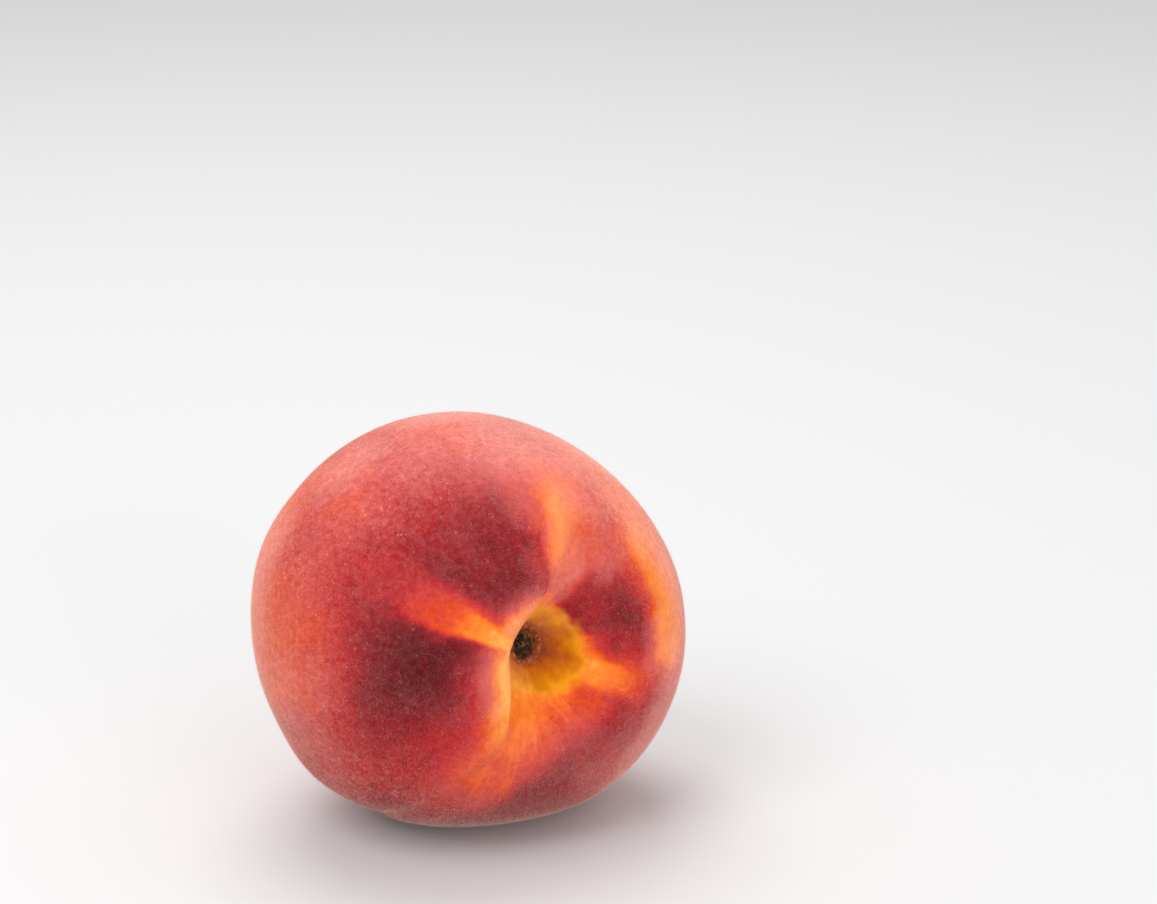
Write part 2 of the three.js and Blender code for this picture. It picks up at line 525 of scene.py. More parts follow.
@dataclass(frozen=True)
class Blush:
    """Where the skin is yellow, red or plum, bare, hazy or specked.

    The pigment runs from 0, pale yellow, over 0.5, red, to 1, dark plum. Its patches are laid
    one over another in their order, each towards its own level. Of the hazes and of the
    specks, the strongest shows.
    """

    patches: tuple[Patch, ...] = (
        # the flanks far from the stalk
        Patch(0.36, (284, 318), (67, 125), (14, 12), (10, 20)),
        # paler towards the left rim: the skin's orange and painted rim light
        Patch(0.33, (252, 326), (92, 150), (20, 14), (16, 25)),
        Patch(0.61, (322, 366), (34, 105), (10, 14), (9, 25)),
        Patch(0.74, (346, 400), (55, 105), (14, 10), (12, 22)),
        Patch(0.88, (10, 38), (53, 100), (12, 10), (12, 20)),
        Patch(0.58, (223, 284), (36, 63), (10, 12), (8, 10)),
        # the far half, which lies away from the stalk
        Patch(0.70, (96, 176), (112, 148), (24, 30), (9, 16), ragged=2.5),
        Patch(0.80, (118, 150), (118, 138), (20, 20), (10, 12), ragged=3.0),
        Patch(0.30, (196, 244), (124, 158), (18, 24), (12, 12), ragged=2.5),
        Patch(0.64, (236, 300), (152, 166), (24, 24), (8, 8), ragged=2.5),
        Patch(0.26, (24, 66), (132, 160), (20, 20), (12, 10), ragged=2.5),
        # plum blush above the streak, and darker plum below it
        Patch(0.70, (213, 262), (17.5, 51), (6.5, 5), (2.5, 10), lean=0.5),
        Patch(0.80, (214, 259), (19.5, 37.5), (7, 7), (3, 12), lean=0.5),
        Patch(0.63, (262, 286), (42, 58), (5, 5), (5, 6)),
        Patch(0.66, (281, 343), (19.5, 54.5), (3, 14), (5, 9), rise=0.08),
        Patch(0.78, (282, 327), (22.5, 49), (4, 13), (5.5, 10), rise=0.12),
        Patch(0.95, (284.5, 315), (24.5, 41.5), (6, 16), (5.5, 11), rise=0.15),
        # plum blushes of the right cheek
        Patch(0.77, (19, 60), (31, 80), (8, 9), (6, 12), rise=-0.5),
        Patch(0.70, (54, 93), (25.5, 80), (8, 6), (4.5, 12)),
        Patch(0.68, (84, 101), (37, 80), (6, 4), (5, 12)),
        Patch(0.62, (64, 100), (43, 64), (8, 6), (5, 10)),
        Patch(0.24, (112, 205), (4, 16.5), (6, 6), (2, 3)),
        Patch(0.68, (134, 168), (12.5, 20), (6, 6), (2.5, 3)),
        Patch(0.68, (117, 166), (17.8, 35), (6, 10), (3.2, 3.5), rise=-0.11),
        Patch(0.70, (144, 181), (15.2, 28.5), (8, 6), (2.5, 6)),
        Patch(0.79, (126, 154), (23, 32.5), (7, 9), (5, 4)),
        Patch(0.29, (158, 180), (53, 85), (14, 12), (8, 15)),
        Patch(0.15, (110.5, 168), (38.5, 56), (6, 8), (5, 9), rise=0.1),
        Patch(0.34, (172, 197), (52, 72), (8, 8), (8, 10)),
        # the valley and the crest at the crease's far end
        Patch(0.43, (176, 208), (17, 66), (6, 7), (4, 14), lean=0.2),
        # paler strip down the valley: the skin's orange and painted highlight on its lit slope
        Patch(0.30, (188.5, 207), (22, 54), (6, 5), (8, 13), ragged=0.25),
        Patch(0.07, (197, 203), (29, 45), (5, 5), (8, 13), lean=-0.08, ragged=0.2),
        Patch(0.66, (206.5, 217), (17.5, 29), (3, 6), (2.5, 5), lean=0.4, ragged=0.5),
        # red, orange and yellow in front of the cavity and down the crease
        Patch(0.43, (44, 92), (16, 24), (9, 5), (3, 5), ragged=1.3),
        Patch(0.35, (352, 383), (8, 43), (9, 6), (4, 9)),
        Patch(0.20, (7, 33), (12, 25), (7, 8), (3, 7)),
        Patch(0.26, (350, 410), (6, 22), (10, 9), (2, 6)),
        Patch(0.34, (400, 452), (6, 19.5), (9, 7), (2, 5), ragged=1.3),
        Patch(0.12, (352, 444), (6, 15), (10, 6), (2, 6)),
        # the yellow streak of the right cheek
        Patch(0.27, (94.5, 109), (12, 30), (4, 4), (4, 8), ragged=0.6),
        Patch(0.11, (92, 115), (6, 23), (5, 5), (2, 6), ragged=0.6),
        # the pale lip and the streak that leaves it
        Patch(0.13, (338, 364), (5, 22), (8, 7), (2, 7), rise=0.15, ragged=0.6),
        Patch(0.16, (190, 268), (3, 15.5), (5, 6), (1, 2.5), ragged=0.5),
        Patch(0.41, (266, 280), (14, 35), (4.5, 2.5), (3, 7), ragged=0.35),
        Patch(0.08, (263.5, 280), (3, 24), (5, 2.5), (1, 8), ragged=0.35),
        Patch(0.0, (264, 358), (3, 14), (7, 8), (1, 4), rise=0.05, ragged=0.5),
    )
    # pale haze: partly the skin's bloom, mostly painted rim light and sheen of the fuzz towards the rims
    hazes_and_rim_light: tuple[Patch, ...] = (
        Patch(0.09, (190, 345), (60, 120), (25, 25), (14, 25)),
        Patch(0.22, (296, 336), (66, 115), (16, 16), (16, 25)),
        Patch(0.19, (220, 250), (56, 115), (14, 18), (12, 25)),
        Patch(0.33, (172, 228), (50, 100), (14, 22), (13, 25)),
        Patch(0.40, (196, 236), (77, 112), (18, 18), (10, 22)),
        Patch(0.27, (150, 184), (45, 75), (10, 8), (8, 10)),
        Patch(0.34, (70, 170), (49, 80), (12, 25), (8, 22)),
        Patch(0.29, (70, 124), (42, 60), (9, 8), (7, 10)),
        Patch(0.13, (106, 132), (33, 46), (6, 6), (4, 6)),
        Patch(0.11, (160, 182), (27, 50), (6, 6), (5, 6)),
        Patch(0.12, (206, 222), (37, 60), (5, 8), (6, 10)),
        Patch(0.38, (64, 104), (50, 76), (12, 10), (7, 18)),
        Patch(0.42, (164, 196), (64, 92), (12, 12), (9, 18)),
        Patch(0.12, (318, 348), (61, 82), (9, 10), (8, 14)),
        Patch(0.10, (246, 271), (55, 84), (10, 9), (8, 20)),
        Patch(0.27, (234, 262), (73, 98), (12, 12), (9, 15)),
        Patch(0.13, (298, 318), (56, 74), (8, 10), (8, 12)),
        Patch(0.04, (206, 224), (18, 30), (4, 6), (3, 5)),
        Patch(0.08, (-10, 32), (38, 66), (14, 14), (8, 12)),
        Patch(0.065, (-12, 75), (18, 42), (14, 14), (5, 10)),
        Patch(0.30, (266, 336), (83, 118), (12, 20), (9, 22)),
        Patch(0.12, (50, 92), (34, 60), (12, 12), (8, 12)),
        Patch(0.16, (-5, 80), (60, 100), (12, 20), (10, 25)),
        # this and the next: painted light on the valley's lit slope
        Patch(0.20, (177, 201), (13, 35), (6, 4), (4, 14)),
        Patch(0.12, (190, 208), (20, 60), (6, 6), (6, 14)),
        Patch(0.19, (172, 204), (38, 60), (8, 8), (8, 10)),
        Patch(0.07, (20, 86), (42, 62), (20, 20), (12, 12)),
        # this and the next: painted glow of the fuzz along the lip
        Patch(0.17, (207, 262), (10.5, 18), (7, 8), (2, 4), rise=-0.08),
        Patch(0.14, (280, 352), (13, 19), (8, 8), (2, 4), rise=0.07),
    )
    # pale specks of the fuzz, laid denser where light catches it: partly painted glints
    specks: tuple[Patch, ...] = (
        Patch(0.9, (225, 275), (42, 72), (20, 20), (14, 14)),
        Patch(0.4, (210, 262), (20, 50), (8, 8), (8, 8)),
        Patch(0.8, (162, 192), (38, 66), (8, 8), (10, 10)),
        Patch(0.35, (60, 125), (22, 48), (20, 20), (10, 10)),
        Patch(0.3, (300, 350), (24, 62), (20, 20), (12, 14)),
        Patch(1.6, (-30, 60), (52, 100), (20, 20), (12, 20)),
    )
    ground: float = 0.47
    drift: Ripple = Ripple(20.0, seed=13, height=0.04)
    streaks: Ripple = Ripple(3.2, seed=14)
    fine_streaks: Ripple = Ripple(1.3, seed=15)
    cloud: Ripple = Ripple(7.0, seed=11)
    mottle: Ripple = Ripple(2.5, seed=12)
    border_shares: tuple[float, ...] = (0.5, 0.7, 1.8, 0.8)  # of the last four in the borders
    tone_shares: tuple[float, ...] = (0.020, 0.012, 0.015, 0.0)  # and in the pigment itself
    streak_tube: Pair = (20.0, 0.12)  # radius and pace
    border: Ripple = Ripple(3.0, seed=31)
    haze_ragged: float = 2.0
    speck_ragged: float = 3.0
    haze_drift: Ripple = Ripple(12.0, seed=32, height=0.008)
    haze_and_limb_sheen_levels: Pair = (0.012, 0.045)  # by the stalk, and more beyond the shoulder, where it is painted limb sheen
    speck_levels: Pair = (0.24, 0.50)
    haze_shoulder: Pair = (35.0, 75.0)
    speck_shoulder: Pair = (35.0, 70.0)
    most_haze: float = 0.8
    most_specks: float = 1.6
    wall_specks: float = 0.3
    wall_haze: float = 0.06
    wall_haze_sides: Pair = (0.5, 1.0)  # by the turn's cosine, so before and behind the scar
    wall_reach: Sides = Sides(front=7.2, right=9.5, back=7.1, left=4.6)
    wall_border: Pair = (1.2, -1.0)
    wall_streaks: Ripple = Ripple(1.7, seed=34)
    wall_streak_tube: Pair = (5.0, 0.1)
    wall_blotches: Ripple = Ripple(2.6, seed=35)
    wall_border_shares: Pair = (0.25, 0.5)  # of the streaks and the blotches
    wall_tone_share: float = 0.09  # of both
    brown_side: Pair = (102.0, 32.0)  # where the brown reaches farthest up, and how wide
    brown_power: Pair = (0.4, 0.75)  # all around, and more on that side

    def density(self, points: Array, around: Array, down: Array) -> Array:
        """The pigment at some points of the skin.

        Args:
            points: places on the fruit's own axes, in millimetres.
            around: their turns from the crease, in radians.
            down: their angles from the stalk, in degrees.

        Returns:
            The ground's density with every patch laid over it, with slow drifts and fine
            streaks that run from the stalk to the point.
        """
        both = (self.streaks, self.fine_streaks)
        drawn = [each.streaks(around, down, *self.streak_tube) for each in both]
        noises = np.stack([*drawn, self.cloud.at(points), self.mottle.at(points)])
        wander = np.array(self.border_shares) @ noises
        total = self.ground + self.drift.at(points)
        for patch in self.patches:
            cover = patch.cover(around, down, wander)
            total = total * (1.0 - cover) + patch.level * cover
        return total + np.array(self.tone_shares) @ noises

    def layers(self, form: FruitForm, points: Array, polar: Array, turn: Array) -> dict[str, Array]:
        """All that the skin's finish reads.

        Args:
            form: the fruit's form.
            points: places on the fruit's own axes, in millimetres.
            polar: their angles from the stalk.
            turn: their turns about the axis, before the crease's swing.

        Returns:
            The pigment, the bareness and tone of the cavity's wall, the pale haze, partly bloom and
            partly painted sheen and rim light, and the share of the pale specks that shows.
        """
        around, down = np.arctan2(points[..., 1], points[..., 0]), np.degrees(polar)
        bare, tone = self.wall(form, points, polar, turn)
        border = self.border.at(points)

        # a little bloom by the stalk, and painted limb sheen rising beyond the shoulder
        near, beyond = self.haze_and_limb_sheen_levels
        bloom_and_sheen = near + beyond * smooth_step(*self.haze_shoulder, down) + self.haze_drift.at(points)
        for patch in self.hazes_and_rim_light:
            bloom_and_sheen = np.maximum(bloom_and_sheen, patch.level * patch.cover(around, down, self.haze_ragged * border))
        ends = smooth_step(*self.wall_haze_sides, np.abs(np.cos(around)))
        bloom_and_sheen = np.clip(bloom_and_sheen, 0.0, self.most_haze) * (1.0 - bare) + self.wall_haze * bare * ends

        near, beyond = self.speck_levels
        specks = near + beyond * smooth_step(*self.speck_shoulder, down)
        for patch in self.specks:
            specks = np.maximum(specks, patch.level * patch.cover(around, down, self.speck_ragged * border))
        specks = np.clip(specks, 0.0, self.most_specks) * (1.0 - (1.0 - self.wall_specks) * bare)

        pigment = self.density(points, around, down)
        return {"pigment": pigment, "bare": bare, "tone": tone, "bloom_and_sheen": bloom_and_sheen, "specks": specks}

    def wall(self, form: FruitForm, points: Array, polar: Array, turn: Array) -> tuple[Array, Array]:
        """The bare wall of the stalk cavity.

        Args:
            form: the fruit's form.
            points: places on the fruit's own axes, in millimetres.
            polar: angles from the stalk.
            turn: turns about the axis from the crease.

        Returns:
            Its bareness, 1 inside its edge, which lies farther out on the right than in front,
            and its tone, from 0, brown at the scar, to 1, yellow at the edge. Both vary in
            streaks that run down the wall and in small blotches.
        """
        distance, around = form.from_cavity(polar, turn)
        reach = self.wall_reach.blend(np.cos(around), np.sin(around))
        streaks = self.wall_streaks.streaks(around, distance, *self.wall_streak_tube)
        blotches = self.wall_blotches.at(points)
        ragged = self.wall_border_shares[0] * streaks + self.wall_border_shares[1] * blotches
        edge = smooth_step(*self.wall_border, distance - reach + ragged)
        side, width = np.radians(self.brown_side)
        power = self.brown_power[0] + self.brown_power[1] * bell(turn_between(around, side), width)
        way = np.clip((distance - form.scar_radius) / (reach - form.scar_radius), 0.0, 1.0)
        tone = way**power + self.wall_tone_share * (streaks + blotches)
        return edge * (np.cos(polar) > 0), np.clip(tone, 0.0, 1.0)


# ---- finishes ----


@dataclass(frozen=True)
class Grit:
    """A noise for a finish: the width of its blotches in metres, its layers, their roughness."""

    size: float
    layers: float = 3.0
    roughness: float = 0.5


@dataclass
class NodeBench:
    """Short ways to add shader nodes to one material."""

    material: Material

    @classmethod
    def fresh(cls, name: str) -> "NodeBench":
        """A bench for a new material.

        Args:
            name: the material's name.

        Returns:
            The bench, with an empty tree.
        """
        material = bpy.data.materials.new(name)
        material.use_nodes = True
        material.node_tree.nodes.clear()
        return cls(material)

    def add(self, kind: str, inputs: dict[str | int, object], **settings: object) -> bpy.types.Node:
        """Adds a node.

        Args:
            kind: the node's type name.
            inputs: by the socket's name or place, an output, a number or a colour.
            settings: the node's properties.

        Returns:
            The node.
        """
        node = self.material.node_tree.nodes.new(kind)
        for key, value in settings.items():
            setattr(node, key, value)
        for key, value in inputs.items():
            if isinstance(value, Socket):
                self.material.node_tree.links.new(value, node.inputs[key])
            else:
                node.inputs[key].default_value = (*value, 1.0) if isinstance(value, tuple) else value
        return node

    def field(self, name: str) -> Socket:
        """The number that the piece's vertices hold under a name."""
        return self.add("ShaderNodeAttribute", {}, attribute_name=name).outputs["Fac"]

    def plus(self, first: Socket, second: object) -> Socket:
        """The sum of an output and another or a number."""
        return self.add("ShaderNodeMath", {0: first, 1: second}, operation="ADD").outputs["Value"]

    def times(self, first: Socket, second: object) -> Socket:
        """The product of an output and another or a number."""
        return self.add("ShaderNodeMath", {0: first, 1: second}, operation="MULTIPLY").outputs["Value"]

    def place(self) -> Socket:
        """Object coordinates."""
        return self.add("ShaderNodeTexCoord", {}).outputs["Object"]

    def noise(self, grit: Grit) -> Socket:
        """The value of a noise on Object coordinates, about 0.5."""
        size = {"Scale": 1.0 / grit.size, "Detail": grit.layers, "Roughness": grit.roughness}
        return self.add("ShaderNodeTexNoise", {"Vector": self.place(), **size}).outputs["Fac"]

    def grain(self, grit: Grit) -> Socket:
        """The same noise, about 0."""
        return self.plus(self.noise(grit), -0.5)

    def ramp(self, value: Socket, stops: Stops) -> Socket:
        """A colour for each value.

        Args:
            value: the output to read.
            stops: places from 0 to 1 and their colours.

        Returns:
            The colour output.
        """
        node = self.add("ShaderNodeValToRGB", {"Fac": value})
        band = node.color_ramp
        while len(band.elements) < len(stops):
            band.elements.new(0.5)
        for element, (place, colour) in zip(band.elements, stops):
            element.position = place
            element.color = (*colour, 1.0)
        return node.outputs["Color"]

    def mix(self, share: Socket, first: object, second: object) -> Socket:
        """A blend of two colours or outputs, with how much of the second is taken."""
        inputs = {"Factor": share, 6: first, 7: second}
        return self.add("ShaderNodeMix", inputs, data_type="RGBA").outputs[2]

    def step(self, borders: Pair, value: Socket) -> Socket:
        """The S-shaped rise of a value between two borders."""
        inputs = {"Value": value, "From Min": borders[0], "From Max": borders[1]}
        return self.add("ShaderNodeMapRange", inputs, interpolation_type="SMOOTHSTEP").outputs["Result"]

    def bump(self, grit: Grit, depth: float, strength: float) -> Socket:
        """The normal of a bumpy surface: a noise, its full depth in metres, how much shows."""
        inputs = {"Height": self.noise(grit), "Distance": depth, "Strength": strength}
        return self.add("ShaderNodeBump", inputs).outputs["Normal"]

    def surface(self, **values: object) -> Material:
        """Adds the surface shader and its output.

        Args:
            values: by the socket's name, with underscores for spaces, what it gets.

        Returns:
            The finished material.
        """
        inputs = {key.replace("_", " "): value for key, value in values.items()}
        shader = self.add("ShaderNodeBsdfPrincipled", inputs)
        self.add("ShaderNodeOutputMaterial", {"Surface": shader.outputs["BSDF"]})
        return self.material


@dataclass(frozen=True)
class SkinFinish:
    """Velvety skin: yellow flesh colour under red pigment, with pale haze and specks that are partly bloom
    and partly painted sheen, rim light and glints.
    """

    pigment: Stops = (
        (0.00, (0.98, 0.44, 0.10)),
        (0.12, (0.84, 0.22, 0.02)),
        (0.25, (0.78, 0.135, 0.012)),
        (0.38, (0.61, 0.052, 0.010)),
        (0.50, (0.47, 0.028, 0.024)),
        (0.62, (0.38, 0.016, 0.020)),
        (0.75, (0.225, 0.012, 0.017)),
        (0.88, (0.125, 0.006, 0.009)),
        (1.00, (0.070, 0.003, 0.005)),
    )
    wall: Stops = (
        (0.00, (0.25, 0.052, 0.014)),
        (0.15, (0.33, 0.066, 0.010)),
        (0.35, (0.41, 0.088, 0.004)),
        (0.60, (0.52, 0.135, 0.000)),
        (0.80, (0.64, 0.210, 0.000)),
        (1.00, (0.80, 0.320, 0.004)),
    )
    # the pale colour of the bloom and of the painted sheen and rim light
    bloom_and_sheen: Colour = (0.95, 0.52, 0.46)
    fine: Grit = Grit(0.0009, 4.0, 0.6)
    coarse: Grit = Grit(0.0035, 3.0, 0.55)
    fine_stipple: float = 0.24
    coarse_stipple: float = 0.16
    wall_stipple: float = 0.25
    frost_grit: Grit = Grit(0.00045, 2.0, 0.6)
    frost_flecks: Grit = Grit(0.0011, 2.0, 0.6)
    frost_coarse: float = 0.6
    frost_least: float = 0.35
    frost_pale: float = 0.13
    frost_shade: float = 0.45
    dot_spacing: float = 0.0009
    dot_edge: Pair = (0.28, 0.08)  # beside the spacing
    dot_groups: Grit = Grit(0.0022, 2.0, 0.6)
    dot_chosen: Pair = (0.50, 0.66)
    dot_strength: float = 0.38
    roughness: float = 0.62
    specular: float = 0.07
    sheen: float = 0.35
    sheen_roughness: float = 0.35
    sheen_tint: Colour = (1.0, 0.62, 0.48)
    down: Grit = Grit(0.0006, 3.0, 0.6)
    down_depth: float = 0.00006
    down_strength: float = 0.7

    def material(self) -> Material:
        """Builds the material.

        Returns:
            A material that reads the fields pigment, bare, tone, specks and the pale haze of bloom and
            painted sheen.
        """
        bench = NodeBench.fresh("peach_skin")
        coarse = bench.grain(self.coarse)
        fine = bench.times(bench.grain(self.fine), self.fine_stipple)
        stipple = bench.plus(fine, bench.times(coarse, self.coarse_stipple))
        colour = bench.ramp(bench.plus(bench.field("pigment"), stipple), self.pigment)
        tone = bench.plus(bench.field("tone"), bench.times(coarse, self.wall_stipple))
        colour = bench.mix(bench.field("bare"), colour, bench.ramp(tone, self.wall))
        frost = self.frost(bench, coarse)
        # pale haze, specks and frost over the colour: partly bloom, partly painted sheen, rim light and
        # glints
        haze_and_sheen = bench.plus(bench.field("bloom_and_sheen"), bench.times(self.dots(bench), bench.field("specks")))
        haze_and_sheen = bench.plus(haze_and_sheen, bench.times(frost, self.frost_pale))
        colour = bench.mix(haze_and_sheen, colour, self.bloom_and_sheen)
        value = bench.plus(bench.times(frost, self.frost_shade), 1.0)
        shade = bench.add("ShaderNodeHueSaturation", {"Color": colour, "Value": value})
        return bench.surface(
            Base_Color=shade.outputs["Color"],
            Roughness=self.roughness,
            Specular_IOR_Level=self.specular,
            Sheen_Weight=self.sheen,
            Sheen_Roughness=self.sheen_roughness,
            Sheen_Tint=self.sheen_tint,
            Normal=bench.bump(self.down, self.down_depth, self.down_strength),
        )

    def frost(self, bench: NodeBench, coarse: Socket) -> Socket:
        """The grain of the fuzz: two fine noises and a coarse one, stronger where specks show.

        Args:
            bench: the material's bench.
            coarse: the coarse noise.

        Returns:
            A number about 0.
        """
        fine = bench.plus(bench.grain(self.frost_grit), bench.grain(self.frost_flecks))
        total = bench.plus(fine, bench.times(coarse, self.frost_coarse))
        return bench.times(total, bench.plus(bench.field("specks"), self.frost_least))

    def dots(self, bench: NodeBench) -> Socket:
        """Scattered round pale specks, partly painted glints of the fuzz, one near each point of a random
        set, where a noise is high.

        Args:
            bench: the material's bench.

        Returns:
            Their share, 0 between them.
        """
        scale = 1.0 / self.dot_spacing
        cells = bench.add("ShaderNodeTexVoronoi", {"Scale": scale, "Vector": bench.place()})
        lobe = bench.step(self.dot_edge, cells.outputs["Distance"])
        chosen = bench.step(self.dot_chosen, bench.noise(self.dot_groups))
        return bench.times(bench.times(lobe, chosen), self.dot_strength)


@dataclass(frozen=True)
class FuzzFinish:
    """Pale hairs, matt and slightly warm."""

    colour: Colour = (0.97, 0.72, 0.64)
    shaded: float = 0.85
    clumps: Grit = Grit(0.004, 2.0)
    roughness: float = 0.75
    specular: float = 0.1

    def material(self) -> Material:
        """Builds the material.

        Returns:
            A material whose colour drifts between the full and the shaded one.
        """
        bench = NodeBench.fresh("peach_fuzz")
        darker = tuple(self.shaded * part for part in self.colour)
        colour = bench.mix(bench.noise(self.clumps), self.colour, darker)
        return bench.surface(Base_Color=colour, Roughness=self.roughness, Specular_IOR_Level=self.specular)


@dataclass(frozen=True)
class ScarFinish:
    """Dry, corky tissue where the stalk broke away."""

    ring: Stops = (
        (0.00, (0.024, 0.009, 0.002)),
        (0.35, (0.078, 0.020, 0.005)),
        (0.70, (0.240, 0.048, 0.009)),
        (1.00, (0.390, 0.120, 0.050)),
    )
    fibre: Colour = (0.20, 0.14, 0.06)
    cork: Grit = Grit(0.0005, 4.0, 0.6)
    cork_share: float = 0.45
    crumbs: Grit = Grit(0.0004, 4.0, 0.65)
    crumb_depth: float = 0.0002
    crumb_strength: float = 0.8
    roughness: float = 0.85
    specular: float = 0.25

    def material(self) -> Material:
        """Builds the material.

        Returns:
            A material that reads the fields rim and fibre.
        """
        bench = NodeBench.fresh("stalk_scar")
        tone = bench.plus(bench.field("rim"), bench.times(bench.grain(self.cork), self.cork_share))
        colour = bench.mix(bench.field("fibre"), bench.ramp(tone, self.ring), self.fibre)
        return bench.surface(
            Base_Color=colour,
            Roughness=self.roughness,
            Specular_IOR_Level=self.specular,
            Normal=bench.bump(self.crumbs, self.crumb_depth, self.crumb_strength),
        )


@dataclass(frozen=True)
class FloorFinish:
    """Plain pale studio floor."""

    colour: Colour = (0.68, 0.68, 0.68)
    roughness: float = 0.9
    specular: float = 0.1

    def material(self) -> Material:
        """Builds the material.

        Returns:
            A material of one colour.
        """
        bench = NodeBench.fresh("studio_floor")
        values = {"Base_Color": self.colour, "Roughness": self.roughness}
        return bench.surface(**values, Specular_IOR_Level=self.specular)


# ---- the pieces ----


@dataclass
class Skin:
    """The whole outside of the fruit as one fine closed mesh, in millimetres."""

    form: FruitForm
    resting: Resting
    blush: Blush = field(default_factory=Blush)
    rings: int = 300
    spokes: int = 320
    ring_crowding: float = 0.45
    spoke_crowding: float = 0.4
    lumps: Ripple = Ripple(16.0, seed=21, height=0.06)
    dimples: Ripple = Ripple(2.6, seed=22, height=0.018)
    wrinkle_counts: Pair = (23.0, 41.0)  # around the cavity, of a strong and a weak set
    wrinkle_sway: Pair = (2.0, 3.0)  # the strong set's, and how often it sways
    wrinkle_start: float = 1.3
    weak_share: float = 0.6
    wrinkles: Ridge = Ridge(0.035, at=6.0, spread=2.5)
    puckers: Ridge = Ridge(0.12, at=4.0, spread=0.8)
    pucker_ripple: Ripple = Ripple(1.3, seed=23)
    sunk: float = 0.6  # under the scar's plate
    sunk_edge: Pair = (3.3, 2.7)
    eased: float = 0.4  # of the fold's depth, on its steep wall where it runs out
    eased_wall: Ridge = Ridge(1.0, at=0.2, spread=2.0)
    eased_from: Pair = (9.0, 16.0)

    def grid(self) -> tuple[Array, Array]:
        """Spreads points over the fruit, crowded at both ends and along the crease.

        Returns:
            Polar angles and turns of the first point, the rings and the last point.
        """
        share = np.arange(self.rings + 2) / (self.rings + 1)
        polar = math.pi * share - self.ring_crowding * np.sin(TURN * share) / 2.0
        even = TURN * np.arange(self.spokes) / self.spokes
        turn = even - self.spoke_crowding * np.sin(2.0 * even) / 2.0
        inner, around = np.meshgrid(polar[1:-1], turn, indexing="ij")
        polars = np.concatenate([[0.0], inner.ravel(), [math.pi]])
        return polars, np.concatenate([[0.0], around.ravel(), [0.0]])

    def relief(self, points: Array, polar: Array, turn: Array) -> Array:
        """Small unevenness of the skin, in millimetres outwards.

        Args:
            points: the smooth skin on the fruit's own axes.
            polar: their angles from the stalk.
            turn: their turns from the crease.

        Returns:
            Broad low lumps and fine ones, wrinkles that run down the cavity's wall, puckers
            and a hollow at the scar, and the fold's steep wall eased where it runs out.
        """
        distance, around = self.form.from_cavity(polar, turn)
        strong, weak = self.wrinkle_counts
        sway = self.wrinkle_sway[0] * np.sin(self.wrinkle_sway[1] * around)
        waves = np.sin(strong * around + sway) + self.weak_share * np.sin(weak * around + self.wrinkle_start)
        puckered = 0.5 * waves + self.pucker_ripple.at(points)
        wall = self.wrinkles.rise(distance) * waves + self.puckers.rise(distance) * puckered
        under_scar = self.sunk * smooth_step(*self.sunk_edge, distance)
        along, across = self.form.from_axis(polar, turn)
        eased = self.eased * self.form.fold(along, across, polar) * self.eased_wall.rise(across)
        eased = eased * smooth_step(*self.eased_from, np.abs(along))
        lumps = self.lumps.at(points) + self.dimples.at(points)
        return lumps + (wall - under_scar + eased) * (np.cos(polar) > 0)

    def make(self) -> Piece:
        """Builds and dresses the skin.

        Returns:
            The piece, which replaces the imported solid.
        """
        polar, turn = self.grid()
        points = self.form.skin(polar, turn)
        self.resting.settle(points, *(np.array(corner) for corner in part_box("peach")))
        layers = self.blush.layers(self.form, points, polar, turn)
        points = points + self.relief(points, polar, turn)[:, None] * unit(points)
        faces = closed_rings(self.rings, self.spokes)
        piece = add_piece("skin", self.resting.place(points), faces, SkinFinish().material(), layers)
        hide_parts("peach")
        return piece


